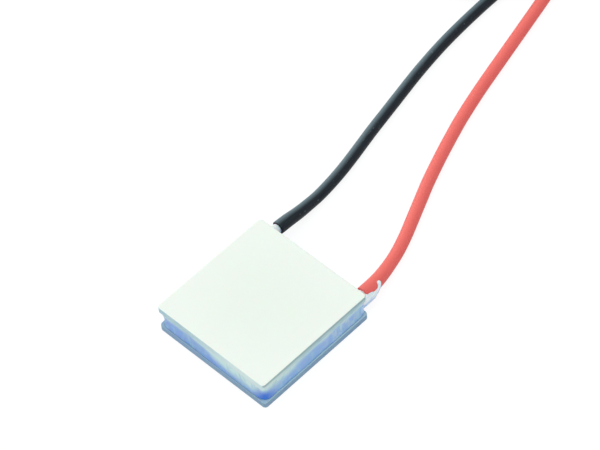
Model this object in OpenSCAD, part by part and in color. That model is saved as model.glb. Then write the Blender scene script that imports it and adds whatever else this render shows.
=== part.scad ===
// Thermoelectric cooling module: two ceramic plates with a serpentine of semiconductor legs
// soldered between them, a silicone bead round the gap and two stranded leads.
// +Z is the cold side, z = 0 is the hot face, and both leads leave over the +Y edge.

/* [Plates] */
// Side of the square ceramic plates
plate_side = 15; // [13:0.5:20]
// Thickness of each ceramic plate
plate_t = 0.8; // [0.5:0.05:1.2]
// Corner radius of the plates
plate_corner_r = 0.4; // [0.1:0.05:0.8]

/* [Couples] */
// Side of a square semiconductor leg
leg_side = 1.4; // [1:0.05:1.5]
// Height of a leg between its solder faces
leg_h = 1.5; // [1:0.1:2.5]
// Thickness of a copper tab
tab_t = 0.3; // [0.2:0.05:0.5]
// How far a tab reaches past its legs on each side
tab_border = 0.1; // [0.05:0.05:0.15]
// Corner radius of the tabs
tab_corner_r = 0.15; // [0.05:0.05:0.3]
// Thickness of a solder layer
solder_t = 0.05; // [0.03:0.01:0.1]
// Distance from the plates' edge to the outermost tabs
grid_margin = 1.075; // [0.9:0.025:1.4]

/* [Edge sealant] */
// Clearance between the bead and the outermost tabs
seal_gap = 0.2; // [0.1:0.05:0.3]
// How far the bead's foot on the hot plate lies inside the plate's edge
seal_foot = 0.15; // [0.1:0.05:0.4]
// Corner radius of the bead's foot
seal_foot_r = 0.9; // [0.6:0.05:1.2]
// How far the bead's lip under the cold plate lies inside the plate's edge
seal_lip = 0.05; // [0.02:0.01:0.15]
// Corner radius of the bead's lip
seal_lip_r = 0.5; // [0.3:0.05:0.8]
// How deep the bead's face dips behind the line from foot to lip
seal_dip = 0.12; // [0.05:0.01:0.25]

/* [Leads] */
// Diameter of the tinned stranded core
core_d = 0.6; // [0.4:0.05:0.7]
// Diameter of the black insulation
black_d = 1.3; // [1.1:0.05:1.6]
// Diameter of the red insulation
red_d = 1.4; // [1.1:0.05:1.6]
// Length of bare core on a lead's pad
pad_reach = 1.5; // [1:0.1:1.8]
// Thickness of the solder mound over a core
joint_t = 0.2; // [0.1:0.05:0.3]
// Distance from the plates' edge to the cut end of the black insulation
black_standoff = 1.4; // [1:0.1:2]
// Distance from the plates' edge to the cut end of the red insulation
red_standoff = 1; // [0.8:0.1:2]
// How far outwards of its pad's centre the black core is soldered
black_offset = 0.3; // [0:0.05:0.4]
// How far outwards of its pad's centre the black insulation starts
black_splay = 1; // [0:0.1:1.2]
// How far outwards of its pad's centre the red insulation starts
red_splay = 0.15; // [-0.3:0.05:1]
// Width of the sealant in the gap's mouth at each lead
mouth_w = 1.9; // [1.6:0.1:2.4]
// How far that sealant fills the gap in from the plates' edge
mouth_depth = 0.6; // [0.5:0.05:0.8]
// Thickness of that sealant round the insulation's diameter, half way out
collar_t = 0.06; // [0.02:0.02:0.2]
// Length of each lead from its cut end at the module to the end of its tinned tip
lead_len = 125; // [115:1:128]
// Length of the stripped and tinned tip
tip_len = 5; // [3:0.5:7]

/* [Hidden] */
// Cells along each side of the grid: even, so that both leads leave over one edge
grid_n = 6;
cells = grid_n * grid_n;
legs = cells - 2;

plate_half = plate_side / 2;
tab_w = leg_side + 2 * tab_border;
pitch = (plate_side - 2 * grid_margin - tab_w) / (grid_n - 1);

// Heights of the layers, from the hot face up
hot_tab_z = plate_t;
hot_solder_z = hot_tab_z + tab_t;
leg_z = hot_solder_z + solder_t;
cold_solder_z = leg_z + leg_h;
cold_tab_z = cold_solder_z + solder_t;
cold_plate_z = cold_tab_z + tab_t;
gap_h = cold_plate_z - plate_t;

// The bead fills the gap from this far off the centre, and its face is drawn in steps
seal_inner = plate_half - grid_margin + seal_gap;
seal_steps = 10;
seal_corner_steps = 6;

// The cores lie on their pads in a thin film of solder
lead_z = hot_solder_z + solder_t + core_d / 2;
pad_xy = (grid_n - 1) * pitch / 2;
black_pad = [-pad_xy - black_offset, pad_xy];
red_pad = [pad_xy, pad_xy];
black_exit = [-pad_xy - black_splay, plate_half + black_standoff];
red_exit = [pad_xy + red_splay, plate_half + red_standoff];

// The web of sealant along the red lead: offsets from the cut end, each with a radius
web = [[[0.85, -0.5, -0.2], 0.4], [[0.6, 0.8, -0.25], 0.3], [[0.45, 2.1, 0], 0.15]];
nub = [[0.3, 2.3, 0.35], 0.22];

// A neat coil is ten or eleven diameters of its lead across, at the middle of its turns
coil_r = 7.1;
// The first turn ends under the start of the second, between these angles
rise_from = 285;
rise_to = 305;
// The coil's two layers join over this share of the lead's width
join_share = 0.8;

// The route of each lead from its cut end to its coil, as x, y and height in millimetres
black_route = [
  [-6.6, 10.4, 1.35], [-6.65, 11.9, 1.05], [-6.75, 13.4, 0.8], [-6.85, 15.2, 0.65],
  [-7.05, 17.2, 0.65], [-7.35, 19.2, 0.65], [-7.75, 21.2, 0.65], [-8.2, 23.2, 0.65],
  [-8.65, 25.2, 0.65], [-9.05, 27.2, 0.65], [-9.45, 29.2, 0.65], [-9.85, 31.2, 0.65],
  [-10.25, 33.2, 0.65], [-10.6, 35.2, 0.65], [-10.9, 37.2, 0.65], [-11.15, 39.2, 0.65],
  [-11.35, 41.5, 0.65], [-11.5, 44, 0.65], [-11.6, 46.8, 0.65], [-11.6, 49.4, 0.65],
  [-11.6, 52, 0.65]
];
red_route = [
  [5.7, 10, 1.35], [5.4, 11.5, 1.05], [4.95, 13.2, 0.8], [4.35, 15.2, 0.7],
  [3.5, 17.4, 0.7], [2.55, 19.5, 0.7], [1.6, 21.6, 0.7], [0.65, 23.7, 0.7],
  [-0.2, 25.8, 0.7], [-1, 27.9, 0.7], [-1.75, 30, 0.7], [-2.5, 32.2, 0.7],
  [-3.15, 34.4, 0.7], [-3.75, 36.6, 0.7], [-4.3, 38.8, 0.7], [-4.9, 41.3, 0.7],
  [-5.5, 43.8, 0.7], [-6.15, 46.5, 0.7], [-6.8, 49.2, 0.7], [-7.5, 52, 0.7],
  [-8.25, 54.8, 0.7], [-9, 57.6, 0.7], [-9.8, 60.4, 0.7], [-10.45, 62.8, 0.7],
  [-10.8, 65, 0.7]
];
// The black lead winds to the left of its route's end and the red one to the right
function coil_centre(route, side) =
  let (end = route[len(route) - 1])
  [end.x + side * coil_r, end.y];
black_coil = coil_centre(black_route, -1);
red_coil = coil_centre(red_route, 1);

function two_digits(i) = str(i < 10 ? "0" : "", i);
function leg_name(i) = str(i % 2 == 1 ? "p_leg_" : "n_leg_", two_digits(i));

// ---- The grid: one serpentine of cells, down the first column and up the next ----

function cell_col(i) = floor(i / grid_n);
function cell_row(i) = cell_col(i) % 2 == 0 ? grid_n - 1 - i % grid_n : i % grid_n;
function cell_xy(i) = [cell_col(i), cell_row(i)] * pitch - [1, 1] * pad_xy;

module rounded_rect(size, r) {
  square([size.x - 2 * r, size.y], center = true);
  square([size.x, size.y - 2 * r], center = true);
  for (x = [-1, 1], y = [-1, 1])
    translate([x * (size.x / 2 - r), y * (size.y / 2 - r)])
      circle(r = r, $fn = 24);
}

// A copper tab that bridges cell i and the next one
module tab(i) {
  a = cell_xy(i);
  b = cell_xy(i + 1);
  span = [abs(b.x - a.x) + tab_w, abs(b.y - a.y) + tab_w];
  translate((a + b) / 2)
    linear_extrude(tab_t)
      rounded_rect(span, tab_corner_r);
}

module plate(z) {
  color("honeydew")
    translate([0, 0, z])
      linear_extrude(plate_t)
        rounded_rect([plate_side, plate_side], plate_corner_r);
}

module hot_tabs() {
  color("peru")
    translate([0, 0, hot_tab_z])
      for (i = [2 : 2 : cells - 4]) tab(i);
}

module cold_tabs() {
  color("peru")
    translate([0, 0, cold_tab_z])
      for (i = [1 : 2 : cells - 3]) tab(i);
}

module pad_tab(i) {
  color("peru")
    translate([0, 0, hot_tab_z])
      tab(i);
}

module solder_layer(z) {
  color("silver")
    for (i = [1 : legs])
      translate(concat(cell_xy(i) - [1, 1] * leg_side / 2, z))
        cube([leg_side, leg_side, solder_t]);
}

module leg(i) {
  color(i % 2 == 1 ? "dimgray" : "slategray")
    translate(concat(cell_xy(i) - [1, 1] * leg_side / 2, leg_z))
      cube([leg_side, leg_side, leg_h]);
}

// ---- A closed skin over rings of points, each ring anticlockwise as the next one lies ahead ----

module skin(rings) {
  count = len(rings[0]);
  last = len(rings) - 1;
  walls = [
    for (i = [0 : last - 1], k = [0 : count - 1])
      let (a = i * count + k, b = i * count + (k + 1) % count)
      each [[a, b, a + count], [b, b + count, a + count]]
  ];
  caps = [
    [for (k = [count - 1 : -1 : 0]) k],
    [for (k = [0 : count - 1]) last * count + k]
  ];
  polyhedron(points = [for (r = rings) each r], faces = concat(walls, caps), convexity = 6);
}

// ---- The sealant bead: a concave face between the plates, sharper at the corners of its lip ----

// How far the bead's face lies inside the plates' edge, at a share t of the gap's height
function seal_inset(t) =
  seal_foot + (seal_lip - seal_foot) * t + 4 * seal_dip * t * (1 - t);
function seal_r(t) = seal_foot_r + (seal_lip_r - seal_foot_r) * t;

// A square's outline with round corners, anticlockwise from above
function rounded_ring(half, r, z) = [
  for (turn = [0 : 90 : 270], k = [0 : seal_corner_steps])
    let (a = turn + k * 90 / seal_corner_steps, c = half - r)
    [c * sign(cos(turn + 45)) + r * cos(a), c * sign(sin(turn + 45)) + r * sin(a), z]
];

module bead() {
  difference() {
    skin([
      for (k = [seal_steps : -1 : 0])
        let (t = k / seal_steps)
        rounded_ring(plate_half - seal_inset(t), seal_r(t), plate_t + gap_h * t)
    ]);
    translate([-seal_inner, -seal_inner, 0])
      cube([2 * seal_inner, 2 * seal_inner, 2 * cold_plate_z]);
  }
}

module edge_sealant() {
  color("lightsteelblue")
    difference() {
      bead();
      core(black_pad, black_exit);
      core(red_pad, red_exit);
    }
}

// ---- The leads ----

// Puts what is drawn along +Y on the line from a pad to its lead's cut end, ending there
module along_lead(pad, exit) {
  way = exit - pad;
  translate([exit.x, exit.y, lead_z])
    rotate([0, 0, atan2(way.y, way.x) - 90])
      children();
}

function core_len(pad, exit) = norm(exit - pad) + pad_reach / 2;

module core(pad, exit) {
  along_lead(pad, exit)
    rotate([90, 0, 0])
      cylinder(d = core_d, h = core_len(pad, exit), $fn = 24);
}

// A mound of solder over the core's end, flat where it meets the pad
module joint(pad, exit) {
  r = core_d / 2 + joint_t;
  back = core_len(pad, exit) - core_d / 2;
  difference() {
    intersection() {
      along_lead(pad, exit)
        rotate([90, 0, 0]) {
          translate([0, 0, back - pad_reach / 2])
            cylinder(r = r, h = pad_reach / 2, $fn = 32);
          translate([0, 0, back - pad_reach / 2])
            sphere(r = r, $fn = 32);
          translate([0, 0, back])
            sphere(r = r, $fn = 32);
        }
      translate([-plate_half, -plate_half, hot_solder_z])
        cube([plate_side, plate_side, gap_h - 2 * tab_t]);
    }
    core(pad, exit);
  }
}

// ---- A lead's insulation, swept along its route with one ring at each point ----

ring_sides = 8;

function unit(v) = v / norm(v);
function heading(p, i) = unit(p[min(i + 1, len(p) - 1)] - p[max(i - 1, 0)]);
function ring(at, dir, r) =
  let (side = unit(cross(dir, [0, 0, 1])), up = cross(side, dir))
  [for (k = [0 : ring_sides - 1])
    at + r * (cos(k * 360 / ring_sides) * side + sin(k * 360 / ring_sides) * up)];

module tube(path, first, last, d) {
  ends = len(path) - 1;
  skin([
    for (i = [0 : ends])
      ring(path[i], i == 0 ? first : i == ends ? last : heading(path, i), d / 2)
  ]);
}

function start_point(exit) = [exit.x, exit.y, lead_z];

module lead(pad, exit, route, d) {
  way = unit(exit - pad);
  tube(concat([start_point(exit)], route), [way.x, way.y, 0], [0, 1, 0], d);
}

module black_lead() {
  color("darkslategray") lead(black_pad, black_exit, black_route, black_d);
}

module red_lead() {
  color("tomato") lead(red_pad, red_exit, red_route, red_d);
}

// ---- The sealant where a lead leaves: it fills the gap's mouth and tapers to the lead ----

skin = 0.02;

module exit_disc(pad, exit, r, back) {
  along_lead(pad, exit)
    translate([0, -back, 0])
      rotate([90, 0, 0])
        cylinder(r = r, h = skin, $fn = 24);
}

// Sealant in the gap's mouth at a lead, from some way inside the plates' edge to some way outside
module mouth(exit, inside, outside) {
  translate([exit.x - mouth_w / 2, plate_half - inside, plate_t])
    cube([mouth_w, inside + outside, gap_h]);
}

module exit_sealant(pad, exit, standoff, d) {
  color("aliceblue")
    difference() {
      union() {
        mouth(exit, mouth_depth, 0);
        hull() {
          mouth(exit, 0, skin);
          exit_disc(pad, exit, d / 2 + collar_t, standoff / 2);
        }
        hull() {
          exit_disc(pad, exit, d / 2 + collar_t, standoff / 2);
          exit_disc(pad, exit, d / 2, 0);
        }
        children();
      }
      bead();
      core(pad, exit);
    }
}

module black_exit_sealant() {
  exit_sealant(black_pad, black_exit, black_standoff, black_d);
}

// The red lead's sealant also runs out along its outer side and ends in a nub on top
module red_exit_sealant() {
  exit_sealant(red_pad, red_exit, red_standoff, red_d)
    difference() {
      union() {
        for (i = [0 : len(web) - 2])
          hull() {
            blob(web[i]);
            blob(web[i + 1]);
          }
        hull() {
          blob(web[len(web) - 1]);
          blob(nub);
        }
      }
      lead(red_pad, red_exit, red_route, red_d);
      plate(0);
      plate(cold_plate_z);
    }
}

module blob(b) {
  translate(start_point(red_exit) + b[0])
    sphere(r = b[1], $fn = 16);
}

// ---- The stored end of each lead: a coil of two layers with the tinned tip on top ----

function route_len(p, i = 1) = i < len(p) ? norm(p[i] - p[i - 1]) + route_len(p, i + 1) : 0;
function turned(exit, route) =
  (lead_len - tip_len - route_len(concat([start_point(exit)], route))) * 180 / (PI * coil_r);

// The part of the coil between two angles, with its section as the children
module coil_sector(from, to) {
  rotate(from)
    rotate_extrude(angle = to - from, $fn = 64)
      translate([coil_r, 0])
        children();
}

// The first turn lies flat, and the second starts over its end and lies on its beginning
module coil(angle, d) {
  second_end = angle - 360;
  coil_sector(0, rise_to) translate([0, d / 2]) circle(d = d, $fn = 24);
  coil_sector(rise_from, angle) translate([0, 1.5 * d]) circle(d = d, $fn = 24);
  for (both = [[0, second_end], [rise_from, rise_to]])
    coil_sector(both[0], both[1])
      translate([-join_share * d / 2, d / 2])
        square([join_share * d, d]);
}

module tip(angle, d) {
  color("silver")
    rotate(angle)
      translate([coil_r, 0, 1.5 * d])
        rotate([-90, 0, 0])
          cylinder(d = core_d, h = tip_len, $fn = 24);
}

module at_black_coil() {
  translate(concat(black_coil, 0)) children();
}

module at_red_coil() {
  translate(concat(red_coil, 0)) mirror([1, 0, 0]) children();
}

module black_coil_turns() {
  color("darkslategray") at_black_coil() coil(turned(black_exit, black_route), black_d);
}

module red_coil_turns() {
  color("tomato") at_red_coil() coil(turned(red_exit, red_route), red_d);
}

plate(0);  // hot_plate
plate(cold_plate_z);  // cold_plate
hot_tabs();
cold_tabs();
pad_tab(0);  // black_pad_tab
pad_tab(cells - 2);  // red_pad_tab
solder_layer(hot_solder_z);  // hot_solder
solder_layer(cold_solder_z);  // cold_solder
for (i = [1 : legs])
  leg(i);
edge_sealant();
black_exit_sealant();
red_exit_sealant();
color("silver") core(black_pad, black_exit);  // black_core
color("silver") core(red_pad, red_exit);  // red_core
color("gainsboro") joint(black_pad, black_exit);  // black_joint
color("gainsboro") joint(red_pad, red_exit);  // red_joint
black_lead();
red_lead();
black_coil_turns();
red_coil_turns();
at_black_coil() tip(turned(black_exit, black_route), black_d);  // black_tip
at_red_coil() tip(turned(red_exit, red_route), red_d);  // red_tip
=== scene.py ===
"""The looks of a thermoelectric cooling module: ceramic plates, a silicone bead and two leads.

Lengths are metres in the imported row's frame: +Z is the cold side, z = 0 the hot face, and
both leads leave over the +Y edge. Lengths written for reading are millimetres times MM.
"""

import math

import bmesh
import bpy
from mathutils import Matrix, Vector, noise


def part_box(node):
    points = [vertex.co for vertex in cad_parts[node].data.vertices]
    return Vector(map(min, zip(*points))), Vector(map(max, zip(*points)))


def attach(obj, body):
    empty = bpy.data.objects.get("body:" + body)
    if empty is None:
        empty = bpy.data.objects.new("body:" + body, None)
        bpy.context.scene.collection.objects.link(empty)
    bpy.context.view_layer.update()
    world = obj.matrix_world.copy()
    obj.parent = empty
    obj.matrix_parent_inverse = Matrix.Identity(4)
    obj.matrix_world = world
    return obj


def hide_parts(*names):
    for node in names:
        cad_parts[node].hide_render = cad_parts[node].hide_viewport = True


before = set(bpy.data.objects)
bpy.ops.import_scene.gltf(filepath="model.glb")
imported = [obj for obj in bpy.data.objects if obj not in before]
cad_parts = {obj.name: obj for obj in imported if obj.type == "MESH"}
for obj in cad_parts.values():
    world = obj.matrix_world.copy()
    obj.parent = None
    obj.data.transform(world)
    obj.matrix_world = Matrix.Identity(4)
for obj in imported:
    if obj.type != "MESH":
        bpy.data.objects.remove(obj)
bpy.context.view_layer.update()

MM = 0.001
BODY = "root"

# ---- Camera ----

VIEW_AZIMUTH = math.radians(48.664)
VIEW_ELEVATION = math.radians(52.032)
VIEW_ROLL = math.radians(-5.966)
VIEW_TARGET = Vector((-2.58, 8.44, 5.87)) * MM
VIEW_DISTANCE = 350 * MM
VIEW_LENS = 207.17
VIEW_CLIP = (10 * MM, 10)


def add_camera():
    """A long lens at the viewing angle, tilted a little about its own axis."""
    flat = math.cos(VIEW_ELEVATION)
    back = Vector((
        math.sin(VIEW_AZIMUTH) * flat, -math.cos(VIEW_AZIMUTH) * flat, math.sin(VIEW_ELEVATION)
    ))
    right = Vector((math.cos(VIEW_AZIMUTH), math.sin(VIEW_AZIMUTH), 0))
    up = back.cross(right)
    turned_right = math.cos(VIEW_ROLL) * right + math.sin(VIEW_ROLL) * up
    turned_up = -math.sin(VIEW_ROLL) * right + math.cos(VIEW_ROLL) * up
    axes = Matrix((turned_right, turned_up, back)).transposed().to_4x4()
    camera = bpy.data.objects.new("camera", bpy.data.cameras.new("camera"))
    camera.data.lens = VIEW_LENS
    camera.data.clip_start, camera.data.clip_end = VIEW_CLIP
    camera.matrix_world = Matrix.Translation(VIEW_TARGET + VIEW_DISTANCE * back) @ axes
    bpy.context.scene.collection.objects.link(camera)
    bpy.context.scene.camera = camera


add_camera()

# ---- Meshes ----


def add_mesh(name, points, faces, smooth=True):
    mesh = bpy.data.meshes.new(name)
    mesh.from_pydata([tuple(p) for p in points], [], faces)
    mesh.validate()
    if smooth:
        mesh.shade_smooth()
    else:
        mesh.shade_flat()
    piece = bpy.data.objects.new(name, mesh)
    bpy.context.scene.collection.objects.link(piece)
    return piece


def grid_faces(rows, columns, closed_rows=False):
    """Quads between rows of points. Each row is a closed loop, and the rows are one with closed_rows."""
    faces = []
    for i in range(rows if closed_rows else rows - 1):
        for k in range(columns):
            here, there = i * columns, (i + 1) % rows * columns
            after = (k + 1) % columns
            faces.append((here + k, here + after, there + after, there + k))
    return faces


def capped_faces(rows, columns):
    """Quads between rows of points, and one face over each end."""
    faces = grid_faces(rows, columns)
    faces.append(tuple(reversed(range(columns))))
    faces.append(tuple(range((rows - 1) * columns, rows * columns)))
    return faces


def add_point_values(piece, name, values):
    """A number for each point of a mesh, which its material reads by name."""
    attribute = piece.data.attributes.new(name, "FLOAT", "POINT")
    attribute.data.foreach_set("value", values)


def smoothstep(value, start, end):
    """0 up to the start, 1 from the end on, and smooth between them."""
    share = min(max((value - start) / (end - start), 0), 1)
    return share * share * (3 - 2 * share)


# ---- Leads ----

LEAD_LENGTH = 125 * MM
TIP_LENGTH = 5 * MM
INSULATED = LEAD_LENGTH - TIP_LENGTH
BLACK_D = 1.3 * MM
RED_D = 1.4 * MM
CORE_D = 0.6 * MM
COIL_R = 7.1 * MM
# The second turn climbs onto the first one between these angles
CLIMB = (math.radians(262), math.radians(340))
# The middle of each turn lies this many diameters up
LOWER_TURN = 0.5
UPPER_TURN = 1.5
COIL_STEP = math.radians(6)
ROUTE_STEPS = 6
TUBE_SIDES = 24

# The points of each lead from its cut end at the module to its coil, in millimetres
BLACK_ROUTE = [
    (-6.625, 8.9, 1.45), (-6.6, 10.4, 1.35), (-6.65, 11.9, 1.05), (-6.75, 13.4, 0.8),
    (-6.85, 15.2, 0.65), (-7.05, 17.2, 0.65), (-7.35, 19.2, 0.65), (-7.75, 21.2, 0.65),
    (-8.2, 23.2, 0.65), (-8.65, 25.2, 0.65), (-9.05, 27.2, 0.65), (-9.45, 29.2, 0.65),
    (-9.85, 31.2, 0.65), (-10.25, 33.2, 0.65), (-10.6, 35.2, 0.65), (-10.9, 37.2, 0.65),
    (-11.15, 39.2, 0.65), (-11.35, 41.5, 0.65), (-11.5, 44, 0.65), (-11.6, 46.8, 0.65),
    (-11.6, 49.4, 0.65), (-11.6, 52, 0.65),
]
RED_ROUTE = [
    (5.775, 8.5, 1.45), (5.7, 10, 1.35), (5.4, 11.5, 1.05), (4.95, 13.2, 0.8), (4.35, 15.2, 0.7),
    (3.5, 17.4, 0.7), (2.55, 19.5, 0.7), (1.6, 21.6, 0.7), (0.65, 23.7, 0.7),
    (-0.2, 25.8, 0.7), (-1, 27.9, 0.7), (-1.75, 30, 0.7), (-2.5, 32.2, 0.7),
    (-3.15, 34.4, 0.7), (-3.75, 36.6, 0.7), (-4.3, 38.8, 0.7), (-4.9, 41.3, 0.7),
    (-5.5, 43.8, 0.7), (-6.15, 46.5, 0.7), (-6.8, 49.2, 0.7), (-7.5, 52, 0.7),
    (-8.25, 54.8, 0.7), (-9, 57.6, 0.7), (-9.8, 60.4, 0.7), (-10.45, 62.8, 0.7),
    (-10.8, 65, 0.7),
]


def path_length(points):
    return sum((b - a).length for a, b in zip(points, points[1:]))


def rounded_path(points):
    """A Catmull-Rom curve through the points."""
    ends = [2 * points[0] - points[1]] + points + [2 * points[-1] - points[-2]]
    path = []
    for a, b, c, d in zip(ends, ends[1:], ends[2:], ends[3:]):
        for step in range(ROUTE_STEPS):
            t = step / ROUTE_STEPS
            path.append(
                0.5 * (2 * b + (c - a) * t + (2 * a - 5 * b + 4 * c - d) * t * t
                       + (3 * b - a - 3 * c + d) * t ** 3)
            )
    return path + [points[-1]]


def coil_point(end, side, angle, height):
    """A point of the coil beside a route's end: side is 1 to wind to the left of it, -1 to the right."""
    return Vector((
        end.x + side * COIL_R * (math.cos(angle) - 1), end.y + COIL_R * math.sin(angle), height
    ))


def lead_path(points, side, diameter):
    """The lead's line to the end of its insulation, and the angle that its coil turns through."""
    turned = (INSULATED - path_length(points)) / COIL_R
    path = rounded_path(points)
    count = math.ceil(turned / COIL_STEP)
    for i in range(1, count + 1):
        angle = turned * i / count
        height = diameter * (LOWER_TURN + smoothstep(angle, *CLIMB))
        path.append(coil_point(points[-1], side, angle, height))
    return path, turned


def tube_rings(path, radius_at, sides):
    """Rings of points round a path, all turned the same way up."""
    rings = []
    for i, point in enumerate(path):
        heading = (path[min(i + 1, len(path) - 1)] - path[max(i - 1, 0)]).normalized()
        side = heading.cross(Vector((0, 0, 1))).normalized()
        up = side.cross(heading)
        radius = radius_at(i)
        for k in range(sides):
            turn = 2 * math.pi * k / sides
            rings.append(point + radius * (math.cos(turn) * up + math.sin(turn) * side))
    return rings


# The insulation's cut ends are rounded off by this much
CUT_EDGE = 0.06 * MM
# Its wall swells and thins by a share of its width over a length
SWELL = 0.006
SWELL_LENGTH = 1.7 * MM
# It is swollen where it was pushed up to the solder
FLARE = 0.15
FLARE_LENGTH = 6 * MM


def add_jacket(name, path, diameter, seed):
    """A lead's insulation. Its wall swells and thins by a hair, as extruded PVC does."""
    lengths = [0]
    for a, b in zip(path, path[1:]):
        lengths.append(lengths[-1] + (b - a).length)
    start_heading = (path[1] - path[0]).normalized()
    end_heading = (path[-1] - path[-2]).normalized()
    line = [path[0], path[0] + CUT_EDGE * start_heading] + path[1:-1]
    line += [path[-1] - CUT_EDGE * end_heading, path[-1]]
    along = [0, CUT_EDGE] + lengths[1:-1] + [lengths[-1] - CUT_EDGE, lengths[-1]]

    def radius_at(i):
        swell = SWELL * noise.noise(Vector((along[i] / SWELL_LENGTH, seed, 0)))
        flare = FLARE * (1 - smoothstep(along[i], 0, FLARE_LENGTH))
        cut = CUT_EDGE if i in (0, len(line) - 1) else 0
        return diameter / 2 * (1 + swell + flare) - cut

    points = tube_rings(line, radius_at, TUBE_SIDES)
    # Where the lead lies on the surface, none of it is below
    for point in points:
        point.z = max(point.z, 0)
    faces = [tuple(reversed(f)) for f in capped_faces(len(line), TUBE_SIDES)]
    piece = add_mesh(name, points, faces)
    add_point_values(piece, "along", [s / MM for s in along for _ in range(TUBE_SIDES)])
    around = [abs(2 * k / TUBE_SIDES - 1) for k in range(TUBE_SIDES)]
    add_point_values(piece, "around", around * len(line))
    return piece


STRAND_D = CORE_D / 3
STRAND_SIDES = 10
STRAND_STEPS = 24
STRANDS_ROUND = 6
# The outer strands touch the middle one, pressed in by a hair
STRANDS_APART = 0.97 * STRAND_D
LAY_TURNS = 0.8


def add_tip(name, end, side, turned, diameter):
    """The stripped end: six tinned strands twisted round a seventh, straight out of the jacket."""
    start = coil_point(end, side, turned, UPPER_TURN * diameter)
    heading = Vector((-side * math.sin(turned), math.cos(turned), 0))
    across = heading.cross(Vector((0, 0, 1)))
    points, faces = [], []
    for strand in range(STRANDS_ROUND + 1):
        offset = 0 if strand == STRANDS_ROUND else STRANDS_APART
        line = []
        for i in range(STRAND_STEPS + 1):
            share = i / STRAND_STEPS
            turn = 2 * math.pi * (strand / STRANDS_ROUND + LAY_TURNS * share)
            aside = offset * (math.cos(turn) * across + math.sin(turn) * Vector((0, 0, 1)))
            line.append(start + heading * (TIP_LENGTH * share) + aside)
        first = len(points)
        points += tube_rings(line, lambda i: STRAND_D / 2, STRAND_SIDES)
        faces += [tuple(first + v for v in reversed(f)) for f in capped_faces(len(line), STRAND_SIDES)]
    return add_mesh(name, points, faces)


def add_lead(colour, route, side, diameter, seed):
    """A lead laid as a cord: its insulation, its tip and what the frame is told of them."""
    points = [Vector(p) * MM for p in route]
    path, turned = lead_path(points, side, diameter)
    jacket = add_jacket(colour + "_jacket", path, diameter, seed)
    tip = add_tip(colour + "_tip_strands", points[-1], side, turned, diameter)
    for piece in (jacket, tip):
        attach(piece, BODY)
    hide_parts(colour + "_lead", colour + "_coil_turns")
    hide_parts(colour + "_tip")
    return jacket, tip


black_jacket, black_tip = add_lead("black", BLACK_ROUTE, side=1, diameter=BLACK_D, seed=3.1)
red_jacket, red_tip = add_lead("red", RED_ROUTE, side=-1, diameter=RED_D, seed=8.4)

# ---- Plates ----

CORNER_R = 0.4 * MM
CORNER_STEPS = 10
EDGE_R = 0.09 * MM
EDGE_STEPS = 5
# A first ring on each flat face, just inside its rounded edge, keeps the shading flat
FACE_RING = 1.5 * EDGE_R


def rounded_square(half, radius, steps):
    """Points of a square with round corners, anticlockwise from its +X +Y corner."""
    centre = half - radius
    points = []
    for quarter in range(4):
        for step in range(steps + 1):
            angle = math.pi / 2 * (quarter + step / steps)
            corner = math.pi / 2 * quarter + math.pi / 4
            points.append(
                Vector((
                    centre * math.copysign(1, math.cos(corner)) + radius * math.cos(angle),
                    centre * math.copysign(1, math.sin(corner)) + radius * math.sin(angle),
                ))
            )
    return points


def add_plate(name, node):
    """A ceramic plate over a CAD plate, with its sawn edges broken by a small radius."""
    low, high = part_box(node)
    rim = []
    for step in range(EDGE_STEPS + 1):
        angle = math.pi / 2 * step / EDGE_STEPS
        rim.append((EDGE_R * (1 - math.sin(angle)), EDGE_R * (1 - math.cos(angle))))
    levels = [(FACE_RING, 0)] + rim
    profile = [(inset, low.z + rise) for inset, rise in levels]
    profile += [(inset, high.z - rise) for inset, rise in reversed(levels)]
    points = []
    for inset, z in profile:
        outline = rounded_square(high.x - inset, CORNER_R - inset, CORNER_STEPS)
        points += [p.to_3d() + Vector((0, 0, z)) for p in outline]
    count = len(points) // len(profile)
    piece = add_mesh(name, points, capped_faces(len(profile), count))
    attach(piece, BODY)
    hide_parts(node)
    return piece


cold_plate = add_plate("cold_plate_ceramic", "cold_plate")
hot_plate = add_plate("hot_plate_ceramic", "hot_plate")

# ---- Silicone bead between the plates ----

PLATE_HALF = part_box("cold_plate")[1].x
BEAD_LOW, BEAD_HIGH = [corner.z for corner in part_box("edge_sealant")]
# How far in from the plates' edge the bead reaches, and the corner radius there
BEAD_W = 0.875 * MM
BEAD_INNER_R = 0.05 * MM
# How far inside the plates' edge the bead's foot and lip lie, and their corner radii
BEAD_FOOT = 0.15 * MM
BEAD_FOOT_R = 0.9 * MM
BEAD_LIP = 0.055 * MM
BEAD_LIP_R = 0.5 * MM
# How far the face dips between them
BEAD_DIP = 0.12 * MM
BEAD_ROWS = 16
BEAD_SIDE_STEPS = 90
BEAD_CORNER_STEPS = 12
# How far the face wanders: slowly along a side, and in small ripples
BEAD_WANDER = ((2.6 * MM, 0.08 * MM), (0.8 * MM, 0.03 * MM))


def bead_outline(inset, radius, z):
    """Points round the bead at a distance inside the plates' edge, as many at any height."""
    half = PLATE_HALF - inset
    centre = half - radius
    points = []
    for quarter in range(4):
        turn = Matrix.Rotation(math.pi / 2 * quarter, 3, "Z")
        for i in range(BEAD_SIDE_STEPS):
            points.append(turn @ Vector((half, centre * (2 * i / BEAD_SIDE_STEPS - 1), z)))
        for i in range(BEAD_CORNER_STEPS):
            angle = math.pi / 2 * i / BEAD_CORNER_STEPS
            x, y = centre + radius * math.cos(angle), centre + radius * math.sin(angle)
            points.append(turn @ Vector((x, y, z)))
    return points


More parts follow.
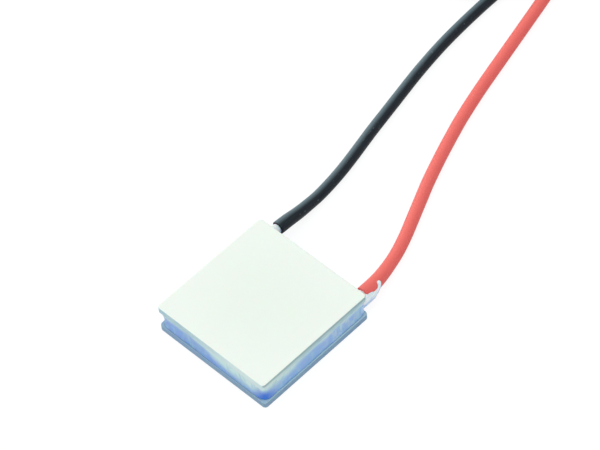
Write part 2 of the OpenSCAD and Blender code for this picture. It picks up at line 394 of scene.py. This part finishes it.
def add_bead():
    """The bead's face dips between the plates and wanders a little, as silicone wiped by hand does."""
    points = bead_outline(BEAD_W, BEAD_INNER_R, BEAD_LOW)
    for k in range(BEAD_ROWS + 1):
        t = k / BEAD_ROWS
        inset = BEAD_FOOT + (BEAD_LIP - BEAD_FOOT) * t + 4 * BEAD_DIP * t * (1 - t)
        radius = BEAD_FOOT_R + (BEAD_LIP_R - BEAD_FOOT_R) * t
        for p in bead_outline(inset, radius, BEAD_LOW + (BEAD_HIGH - BEAD_LOW) * t):
            wander = sum(depth * noise.noise(p / length) for length, depth in BEAD_WANDER) * (1 - t * t)
            outward = Vector((p.x, p.y, 0)).normalized()
            points.append(p + outward * wander)
    points += bead_outline(BEAD_W, BEAD_INNER_R, BEAD_HIGH)
    count = 4 * (BEAD_SIDE_STEPS + BEAD_CORNER_STEPS)
    piece = add_mesh("silicone_bead", points, grid_faces(BEAD_ROWS + 3, count, closed_rows=True))
    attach(piece, BODY)
    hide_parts("edge_sealant")
    return piece


bead = add_bead()

# ---- Silicone at the leads ----

# Voxels and the step between balls are in millimetres, as a dab is until it is scaled at the end
VOXEL = 0.05
BALL_STEP = 0.06
DAB_SMOOTHING = 8
DAB_SOFTNESS = 0.5


def add_blob(name, chains, node):
    """One soft solid round chains of balls. A ball is x, y, z and radius in millimetres."""
    shape = bmesh.new()
    for chain in chains:
        for a, b in zip(chain, chain[1:]):
            start, end = Vector(a), Vector(b)
            steps = max(2, math.ceil((end - start).length / BALL_STEP))
            for i in range(steps + 1):
                ball = start.lerp(end, i / steps)
                made = bmesh.ops.create_icosphere(shape, subdivisions=2, radius=ball[3])
                bmesh.ops.translate(shape, vec=ball.to_3d(), verts=made["verts"])
    mesh = bpy.data.meshes.new(name)
    shape.to_mesh(mesh)
    shape.free()
    piece = bpy.data.objects.new(name, mesh)
    bpy.context.scene.collection.objects.link(piece)
    remesh = piece.modifiers.new("one_skin", "REMESH")
    remesh.mode = "VOXEL"
    remesh.voxel_size = VOXEL
    soften = piece.modifiers.new("soften", "SMOOTH")
    soften.factor = DAB_SOFTNESS
    soften.iterations = DAB_SMOOTHING
    bpy.context.view_layer.update()
    solid = bpy.data.meshes.new_from_object(piece.evaluated_get(bpy.context.evaluated_depsgraph_get()))
    piece.modifiers.clear()
    piece.data = solid
    solid.transform(Matrix.Scale(MM, 4))
    solid.shade_smooth()
    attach(piece, BODY)
    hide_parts(node)
    return piece


# The gap's mouth at a lead: its half width, its balls and how far out from the middle they lie
MOUTH_HALF = 0.95
MOUTH_BALL = 0.38
MOUTH_ROWS = 4
MOUTH_OUT = (7.1, 7.28)
THROAT_OUT = 7.35


def mouth_chains(x):
    """Rows of balls that fill the gap's mouth at a lead, from plate to plate."""
    low, high = BEAD_LOW / MM + MOUTH_BALL, BEAD_HIGH / MM - MOUTH_BALL
    reach = MOUTH_HALF - MOUTH_BALL
    rows = []
    for k in range(MOUTH_ROWS):
        z = low + (high - low) * k / (MOUTH_ROWS - 1)
        for y in MOUTH_OUT:
            rows.append([(x - reach, y, z, MOUTH_BALL), (x + reach, y, z, MOUTH_BALL)])
    return rows


def throat_chain(cut_end):
    """The dab narrows from the gap's mouth to the cut end of the insulation, inside its wall."""
    x, y, z = cut_end
    return [
        (x, THROAT_OUT, z + 0.3, 0.78), (x, (THROAT_OUT + y) / 2, z + 0.1, 0.7),
        (x, y - 0.25, z, 0.62), (x, y - 0.05, z, 0.5),
    ]


# The red lead's dab wets its outer side, runs out along it and ends in a nub on top
RED_CUFF = [
    (6.3, 7.6, 1.6, 0.5), (6.4, 8.3, 1.6, 0.36), (6.38, 8.9, 1.6, 0.28), (6.33, 9.25, 1.62, 0.2),
]
RED_FILLET = [
    (6.5, 7.6, 1.4, 0.5), (6.58, 8.4, 1.4, 0.38), (6.55, 9.2, 1.38, 0.27), (6.45, 9.8, 1.42, 0.18),
]
RED_WEB = [
    (6.55, 7.4, 1.3, 0.42), (6.6, 8, 1.3, 0.39), (6.6, 9.15, 1.18, 0.32), (6.46, 10.05, 1.34, 0.23),
    (6.36, 10.36, 1.6, 0.22), (6.22, 10.48, 1.8, 0.26),
]
# It also fills the bead's corner beside the lead
RED_CORNER = [(6.98, 6.95, 1.15, 0.33), (6.98, 6.95, 2.65, 0.33)]

black_dab = add_blob(
    "black_lead_dab", mouth_chains(BLACK_ROUTE[0][0]) + [throat_chain(BLACK_ROUTE[0])], "black_exit_sealant"
)
red_dab = add_blob(
    "red_lead_dab",
    mouth_chains(RED_ROUTE[0][0])
    + [throat_chain(RED_ROUTE[0]), RED_CUFF, RED_FILLET, RED_WEB, RED_CORNER],
    "red_exit_sealant",
)

# ---- Materials ----


class Shader:
    """A Principled material, with short calls for the nodes that colour it."""

    def __init__(self, name, **values):
        self.material = bpy.data.materials.new(name)
        self.material.use_nodes = True
        self.nodes = self.material.node_tree.nodes
        self.main = self.nodes["Principled BSDF"]
        for key, value in values.items():
            self.main.inputs[key.replace("_", " ")].default_value = value

    def link(self, source, target):
        self.material.node_tree.links.new(source, target)

    def feed(self, socket, value):
        if isinstance(value, bpy.types.NodeSocket):
            self.link(value, socket)
        else:
            socket.default_value = value

    def node(self, kind, **inputs):
        node = self.nodes.new(kind)
        for key, value in inputs.items():
            self.feed(node.inputs[key.replace("_", " ")], value)
        return node

    def place(self, stretch=(1, 1, 1)):
        """Where a point lies, in millimetres, stretched along each axis."""
        where = self.node("ShaderNodeTexCoord").outputs["Object"]
        return self.node("ShaderNodeMapping", Vector=where, Scale=[s / MM for s in stretch]).outputs[0]

    def part(self, vector, axis):
        """A vector's part along an axis: 0, 1 or 2."""
        return self.node("ShaderNodeSeparateXYZ", Vector=vector).outputs[axis]

    def normal(self, kind="Normal"):
        return self.node("ShaderNodeNewGeometry").outputs[kind]

    def near(self, middle, reach):
        """1 at a place, falling to 0 at a distance: both in millimetres."""
        way = self.node("ShaderNodeVectorMath", Vector=self.place())
        way.operation = "DISTANCE"
        way.inputs[1].default_value = middle
        return self.remap(way.outputs["Value"], 0.0, reach, 1.0, 0.0)

    def value(self, name):
        """A number that the mesh carries for each point."""
        node = self.nodes.new("ShaderNodeAttribute")
        node.attribute_name = name
        return node.outputs["Fac"]

    def noise(self, vector, scale, detail=3.0, roughness=0.55):
        """Noise from 0 to 1 with so many waves a unit of the vector."""
        settings = {"Scale": scale, "Detail": detail, "Roughness": roughness}
        return self.node("ShaderNodeTexNoise", Vector=vector, **settings).outputs[0]

    def math(self, operation, a, b=0.0):
        node = self.nodes.new("ShaderNodeMath")
        node.operation = operation
        self.feed(node.inputs[0], a)
        self.feed(node.inputs[1], b)
        return node.outputs[0]

    def remap(self, value, low, high, to_low=0.0, to_high=1.0):
        """A smooth step between two values, held outside them."""
        node = self.nodes.new("ShaderNodeMapRange")
        node.interpolation_type = "SMOOTHSTEP"
        for socket, number in zip(node.inputs, (value, low, high, to_low, to_high)):
            self.feed(socket, number)
        return node.outputs[0]

    def mix(self, share, first, second):
        """The second colour's share over the first: a colour is a tuple or a socket."""
        node = self.nodes.new("ShaderNodeMix")
        node.data_type = "RGBA"
        sockets = [s for s in node.inputs if s.type == "RGBA"]
        self.feed(node.inputs[0], share)
        for socket, colour in zip(sockets, (first, second)):
            self.feed(socket, (*colour, 1) if isinstance(colour, tuple) else colour)
        return [s for s in node.outputs if s.type == "RGBA"][0]

    def colour(self, source):
        self.feed(self.main.inputs["Base Color"], source)

    def bump(self, height, depth, strength):
        """Relief of a depth in millimetres."""
        node = self.node("ShaderNodeBump", Height=height, Distance=depth * MM, Strength=strength)
        self.link(node.outputs[0], self.main.inputs["Normal"])

    def on(self, *pieces):
        for piece in pieces:
            piece.data.materials.clear()
            piece.data.materials.append(self.material)


X_AXIS, Z_AXIS = 0, 2
# The plates' half side and the bead's top, in millimetres as the materials measure
SIDE_MM = PLATE_HALF / MM
TOP_MM = BEAD_HIGH / MM
# The bead's pale upper part reaches lowest round this place, and the painted shade on the plates' sides
# takes another colour there
PALE_MIDDLE = (4.5, -SIDE_MM, 2.0)
PALE_REACH = 9.0

# ---- Ceramic ----

# The face turns from one colour to the other between these distances from its middle
FACE_SPREAD = (1.0, 9.5)
FACE_MIDDLE = (0.875, 0.935, 0.83)
FACE_OUTER = (0.905, 0.96, 0.865)
FACE_GRAIN = (0.84, 0.905, 0.805)
# The heights between which the grey painted shadow line along the top of the cold plate's edge deepens
SHADOW_LINE_HEIGHTS = (TOP_MM + 0.3, TOP_MM + 0.65)
SHADOW_LINE_GREY = (0.27, 0.40, 0.40)
# The painted shade on the hot plate's rim is paler on the +X side, from one distance to the other
RIM_SHADE_PLUS_X = (0.42, 0.60, 0.68)
RIM_TURN = (SIDE_MM - 0.8, SIDE_MM - 0.4)


def alumina(name, side_shade_dark, side_shade_light, side_shade_at_pale_middle, rim=None):
    """Fine-grained white ceramic. Its sides are painted darker with shade, and its rim may carry painted
    shade too.

    A grey painted shadow line also runs along the top of the cold plate's +X edge.
    """
    s = Shader(
        name, Roughness=0.55, Specular_IOR_Level=0.3,
        Subsurface_Weight=0.12, Subsurface_Scale=0.3 * MM,
    )
    place = s.place()
    from_middle = s.node("ShaderNodeVectorMath", Vector=s.place((1, 1, 0)))
    from_middle.operation = "LENGTH"
    outer = s.remap(from_middle.outputs["Value"], *FACE_SPREAD)
    blotch = s.remap(s.noise(place, 0.22, 2), 0.3, 0.7, -0.12, 0.12)
    face = s.mix(s.math("ADD", outer, blotch), FACE_MIDDLE, FACE_OUTER)
    grain = s.noise(place, 14, 4, 0.7)
    face = s.mix(s.remap(grain, 0.4, 0.7, 0.0, 0.2), face, FACE_GRAIN)

    up = s.part(s.normal("True Normal"), Z_AXIS)
    sideways = s.part(s.normal("True Normal"), X_AXIS)
    # The sides carry painted shade: darker, bluer colours than the faces, in clouds between two of them
    edge = s.mix(s.remap(s.noise(s.place((1, 1, 3)), 0.9, 3), 0.3, 0.7), side_shade_dark, side_shade_light)
    edge = s.mix(s.near(PALE_MIDDLE, PALE_REACH), edge, side_shade_at_pale_middle)
    # A painted shadow line, grey, just under the top edge of the +X side
    line = s.remap(s.part(place, Z_AXIS), *SHADOW_LINE_HEIGHTS)
    line = s.math("MULTIPLY", line, s.remap(sideways, 0.4, 0.8, 0.0, 0.75))
    edge = s.mix(line, edge, SHADOW_LINE_GREY)

    body = s.mix(s.remap(s.math("ABSOLUTE", up), 0.55, 0.95), edge, face)
    # Painted shade on upward faces: the hot plate's rim outside the bead, darker and bluish
    if rim:
        side = s.remap(s.part(place, X_AXIS), *RIM_TURN)
        body = s.mix(s.remap(up, 0.3, 0.7), body, s.mix(side, rim, RIM_SHADE_PLUS_X))
    s.colour(body)
    fine = s.math("MULTIPLY", s.noise(place, 40, 2), 0.4)
    s.bump(s.math("ADD", s.noise(place, 9, 5, 0.65), fine), 0.006, 0.6)
    return s


# ---- Silicone ----

BEAD_BLUE = (0.27, 0.46, 0.75)
BEAD_CLOUD = (0.23, 0.40, 0.78)
BEAD_LIT_SIDE = (0.42, 0.66, 0.93)
BEAD_STREAK = (0.42, 0.62, 0.76)
# The bead is pale above these heights, and lower round PALE_MIDDLE by the drop
BEAD_PALE = (0.66, 0.86, 0.81)
PALE_HEIGHTS = (TOP_MM - 0.9, TOP_MM + 0.3)
PALE_DROP = 1.35
# The stretch of the bead's +X side, near the red lead, that pale flecks show through
FLECKED = (SIDE_MM, 4.0, 3.0)
FLECKED_REACH = 4.2
FLECK = (0.62, 0.80, 0.79)
# The front corner of the bead's foot, painted with deep blue shade
SHADED_CORNER = (SIDE_MM - 0.45, -SIDE_MM + 0.45, 1.3)
CORNER_SHADE_REACH = 1.9
CORNER_SHADE_BLUE = (0.045, 0.19, 0.72)


def bead_silicone():
    """Blue translucent silicone, pale where it is thin under the cold plate, with painted shade in deep
    blue at one corner and painted light on its +X side.
    """
    s = Shader(
        "blue_silicone", Roughness=0.38, Specular_IOR_Level=0.35,
        Subsurface_Weight=0.35, Subsurface_Scale=0.4 * MM,
    )
    place = s.place()
    cloud = s.noise(place, 0.45, 3)
    body = s.mix(s.remap(cloud, 0.36, 0.64), BEAD_BLUE, BEAD_CLOUD)
    # Painted light: the bead is lighter and paler blue where it faces +X
    sideways = s.part(s.normal(), X_AXIS)
    body = s.mix(s.remap(sideways, 0.3, 0.8, 0.0, 0.36), body, BEAD_LIT_SIDE)

    wisp = s.math("MULTIPLY", s.math("SUBTRACT", cloud, 0.5), 1.4)
    drop = s.math("MULTIPLY", s.near(PALE_MIDDLE, PALE_REACH), PALE_DROP)
    level = s.math("ADD", s.math("ADD", s.part(place, Z_AXIS), wisp), drop)
    body = s.mix(s.remap(level, *PALE_HEIGHTS), body, BEAD_PALE)
    streak = s.remap(s.noise(s.place((1, 1, 0.25)), 1.7, 3, 0.6), 0.50, 0.70, 0.0, 0.6)
    body = s.mix(streak, body, BEAD_STREAK)
    flecks = s.remap(s.noise(s.place((1, 1, 0.4)), 2.4, 3, 0.6), 0.42, 0.58, 0.0, 0.75)
    body = s.mix(s.math("MULTIPLY", flecks, s.near(FLECKED, FLECKED_REACH)), body, FLECK)
    # Painted shade: deep blue in the recess at the bead's front corner
    s.colour(s.mix(s.near(SHADED_CORNER, CORNER_SHADE_REACH), body, CORNER_SHADE_BLUE))
    s.bump(s.noise(place, 2.4, 4, 0.55), 0.05, 0.5)
    return s


# Each pair is mixed in clouds: the lit pair is painted light where the dab faces up, the shaded pair
# painted shade below
DAB_SHADED_PAIR = ((0.36, 0.53, 0.86), (0.46, 0.63, 0.88))
DAB_LIT_PAIR = ((0.80, 0.90, 0.91), (0.90, 0.95, 0.92))


def dab_silicone():
    """The silicone at the leads: milky with painted light where it faces up, and bluish with painted shade
    below.
    """
    s = Shader(
        "clear_silicone", Roughness=0.35, Specular_IOR_Level=0.35,
        Subsurface_Weight=0.15, Subsurface_Scale=0.2 * MM,
    )
    place = s.place()
    cloud = s.remap(s.noise(place, 1.2, 3), 0.35, 0.65)
    # Painted light on up-facing silicone, painted shade on down-facing silicone
    up = s.remap(s.part(s.normal(), Z_AXIS), -0.2, 0.75)
    s.colour(s.mix(up, s.mix(cloud, *DAB_SHADED_PAIR), s.mix(cloud, *DAB_LIT_PAIR)))
    s.bump(s.noise(place, 1.6, 2, 0.5), 0.04, 0.3)
    return s


# ---- Insulation ----

# The way that the painted highlight on the leads faces
HIGHLIGHT_SIDE = Vector((-0.75, 0, 0.66))
HIGHLIGHT_FULL = 1.05


def insulation(name, light, dark, scuff, scuffed, painted_highlight, highlight_from):
    """Extruded PVC with a faint lengthwise grain, a painted highlight on its upper left side and pale rub
    marks.

    The rub marks have the colour scuff and the share scuffed.
    """
    s = Shader(name, Specular_IOR_Level=0.16)

    def stretched(lengthwise, crosswise):
        """Where a point lies on the wall, along the lead and round it."""
        along = s.math("MULTIPLY", s.value("along"), lengthwise)
        around = s.math("MULTIPLY", s.value("around"), crosswise)
        return s.node("ShaderNodeCombineXYZ", X=along, Y=around).outputs[0]

    wall = stretched(0.25, 9.0)
    grain = s.remap(s.noise(wall, 2.2, 4, 0.6), 0.3, 0.7)
    body = s.mix(grain, dark, light)
    # Painted highlight: the wall is lighter where it faces up and towards -X, the key lamp's side
    toward_highlight = s.node("ShaderNodeVectorMath", Vector=s.normal())
    toward_highlight.operation = "DOT_PRODUCT"
    toward_highlight.inputs[1].default_value = HIGHLIGHT_SIDE
    body = s.mix(s.remap(toward_highlight.outputs["Value"], highlight_from, HIGHLIGHT_FULL), body, painted_highlight)
    rubbed = s.remap(s.noise(stretched(1.3, 6.0), 1.6, 5, 0.7), 0.58, 0.70)
    patches = s.remap(s.noise(wall, 0.9, 1), 0.48, 0.6)
    share = s.math("MULTIPLY", s.math("MULTIPLY", rubbed, patches), scuffed)
    s.colour(s.mix(share, body, scuff))
    s.feed(s.main.inputs["Roughness"], s.remap(grain, 0.0, 1.0, 0.36, 0.5))
    s.bump(grain, 0.012, 0.5)
    return s


# ---- Metal ----

TARNISH_ROUGHENS = 0.15
RELIEF_SCALE = 6


def metal(name, light, dark, roughness, scale, depth):
    """A metal with cloudy tarnish of a scale, and fine relief of a depth in millimetres."""
    s = Shader(name, Metallic=1.0)
    place = s.place()
    cloud = s.noise(place, scale, 4, 0.6)
    s.colour(s.mix(s.remap(cloud, 0.3, 0.7), light, dark))
    s.feed(s.main.inputs["Roughness"], s.remap(cloud, 0.3, 0.7, roughness, roughness + TARNISH_ROUGHENS))
    s.bump(s.noise(place, scale * RELIEF_SCALE, 3), depth, 0.5)
    return s


# ---- Materials on the pieces ----


def cad_nodes(*starts):
    """The CAD nodes whose names start so, which show wherever no piece replaces them."""
    return [o for name, o in sorted(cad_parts.items()) if name.startswith(starts)]


# Both plates' sides carry painted shade, the hot plate's deeper and bluer where the cold plate overhangs it
alumina(
    "alumina_cold",
    side_shade_dark=(0.42, 0.60, 0.66), side_shade_light=(0.54, 0.71, 0.71), side_shade_at_pale_middle=(0.78, 0.90, 0.84),
).on(cold_plate, *cad_nodes("cold_plate"))
alumina(
    "alumina_hot",
    side_shade_dark=(0.21, 0.34, 0.50), side_shade_light=(0.27, 0.40, 0.53), side_shade_at_pale_middle=(0.25, 0.38, 0.50),
    # Painted shade on the hot plate's rim
    rim=(0.32, 0.47, 0.60),
).on(hot_plate, *cad_nodes("hot_plate"))
bead_silicone().on(bead, *cad_nodes("edge_sealant"))
dab_silicone().on(black_dab, red_dab, *cad_nodes("black_exit_sealant", "red_exit_sealant"))
insulation(
    "black_pvc",
    light=(0.014, 0.022, 0.027), dark=(0.006, 0.011, 0.017),
    scuff=(0.20, 0.29, 0.28), scuffed=0.6, painted_highlight=(0.13, 0.185, 0.205), highlight_from=0.25,
).on(black_jacket, *cad_nodes("black_lead", "black_coil"))
insulation(
    "red_pvc",
    light=(0.88, 0.15, 0.13), dark=(0.83, 0.115, 0.105),
    scuff=(0.95, 0.5, 0.45), scuffed=0.25, painted_highlight=(0.94, 0.19, 0.16), highlight_from=-0.6,
).on(red_jacket, *cad_nodes("red_lead", "red_coil"))
metal(
    "copper", light=(0.85, 0.45, 0.28), dark=(0.62, 0.30, 0.17), roughness=0.32, scale=1.4, depth=0.004,
).on(*cad_nodes("hot_tabs", "cold_tabs", "black_pad", "red_pad"))
metal(
    "solder", light=(0.72, 0.73, 0.74), dark=(0.5, 0.51, 0.53), roughness=0.3, scale=2.2, depth=0.01,
).on(*cad_nodes("hot_solder", "cold_solder", "black_joint", "red_joint"))
metal(
    "tinned_copper", light=(0.82, 0.82, 0.80), dark=(0.6, 0.6, 0.58),
    roughness=0.25, scale=3.0, depth=0.006,
).on(black_tip, red_tip, *cad_nodes("black_core", "red_core", "black_tip", "red_tip"))
metal(
    "p_telluride", light=(0.16, 0.16, 0.17), dark=(0.08, 0.08, 0.09), roughness=0.45, scale=2.0, depth=0.01,
).on(*cad_nodes("p_leg"))
metal(
    "n_telluride", light=(0.22, 0.22, 0.24), dark=(0.12, 0.12, 0.135), roughness=0.4, scale=2.0, depth=0.01,
).on(*cad_nodes("n_leg"))

# ---- Studio ----

FLOOR_HALF = 1.5
FLOOR_HEIGHT = -0.01 * MM
FLOOR_PALE = (0.8, 0.81, 0.82, 1)
# The eye sees a grey that takes the shadow, and a glow on top that brings it up to white
FLOOR_SEEN = (0.22, 0.22, 0.22, 1)
FLOOR_GLOW = 0.85
WORLD_COLOUR = (0.93, 0.97, 1.0, 1)
WORLD_LEVEL = 0.6
WORLD_SEEN = 1.0


def seen_directly(nodes, links):
    """Light Path: 1 for rays from the camera and those that gloss and glass send on."""
    path = nodes.new("ShaderNodeLightPath")
    total = path.outputs["Is Camera Ray"]
    for name in ("Is Glossy Ray", "Is Transmission Ray"):
        most = nodes.new("ShaderNodeMath")
        most.operation = "MAXIMUM"
        links.new(total, most.inputs[0])
        links.new(path.outputs[name], most.inputs[1])
        total = most.outputs[0]
    return total


def add_floor():
    """A pale floor that is white to the eye but for the shadow on it."""
    corners = [(-1, -1), (1, -1), (1, 1), (-1, 1)]
    points = [(FLOOR_HALF * x, FLOOR_HALF * y, FLOOR_HEIGHT) for x, y in corners]
    floor = add_mesh("floor", points, [(0, 1, 2, 3)], smooth=False)
    material = bpy.data.materials.new("floor")
    material.use_nodes = True
    nodes, links = material.node_tree.nodes, material.node_tree.links
    nodes.clear()
    pale = nodes.new("ShaderNodeBsdfDiffuse")
    pale.inputs["Color"].default_value = FLOOR_PALE
    seen = nodes.new("ShaderNodeBsdfDiffuse")
    seen.inputs["Color"].default_value = FLOOR_SEEN
    glow = nodes.new("ShaderNodeEmission")
    glow.inputs["Color"].default_value = (1, 1, 1, 1)
    glow.inputs["Strength"].default_value = FLOOR_GLOW
    both = nodes.new("ShaderNodeAddShader")
    links.new(seen.outputs[0], both.inputs[0])
    links.new(glow.outputs[0], both.inputs[1])
    choose = nodes.new("ShaderNodeMixShader")
    links.new(seen_directly(nodes, links), choose.inputs[0])
    links.new(pale.outputs[0], choose.inputs[1])
    links.new(both.outputs[0], choose.inputs[2])
    output = nodes.new("ShaderNodeOutputMaterial")
    links.new(choose.outputs[0], output.inputs[0])
    floor.data.materials.append(material)


def add_world():
    """A soft pale sky, which lights the module less than it shows to the eye."""
    world = bpy.data.worlds.new("studio")
    bpy.context.scene.world = world
    world.use_nodes = True
    nodes, links = world.node_tree.nodes, world.node_tree.links
    background = nodes["Background"]
    background.inputs["Color"].default_value = WORLD_COLOUR
    level = nodes.new("ShaderNodeMapRange")
    level.inputs["To Min"].default_value = WORLD_LEVEL
    level.inputs["To Max"].default_value = WORLD_SEEN
    links.new(seen_directly(nodes, links), level.inputs["Value"])
    links.new(level.outputs[0], background.inputs["Strength"])


def add_softbox(name, place, size, power, colour=(1, 1, 1)):
    """A square lamp that faces the module from a place in metres."""
    lamp = bpy.data.lights.new(name, "AREA")
    lamp.size = size
    lamp.energy = power
    lamp.color = colour
    holder = bpy.data.objects.new(name, lamp)
    holder.location = place
    holder.rotation_euler = Vector(place).to_track_quat("Z", "Y").to_euler()
    bpy.context.scene.collection.objects.link(holder)


add_floor()
add_world()
add_softbox("key", place=(-0.50, 0.02, 0.24), size=0.36, power=1.1)
add_softbox("top", place=(0.02, 0.0, 0.6), size=0.50, power=0.92)
add_softbox("fill", place=(0.30, -0.36, 0.2), size=0.40, power=0.50, colour=(0.85, 0.93, 1))

bpy.context.scene.view_settings.view_transform = "Standard"
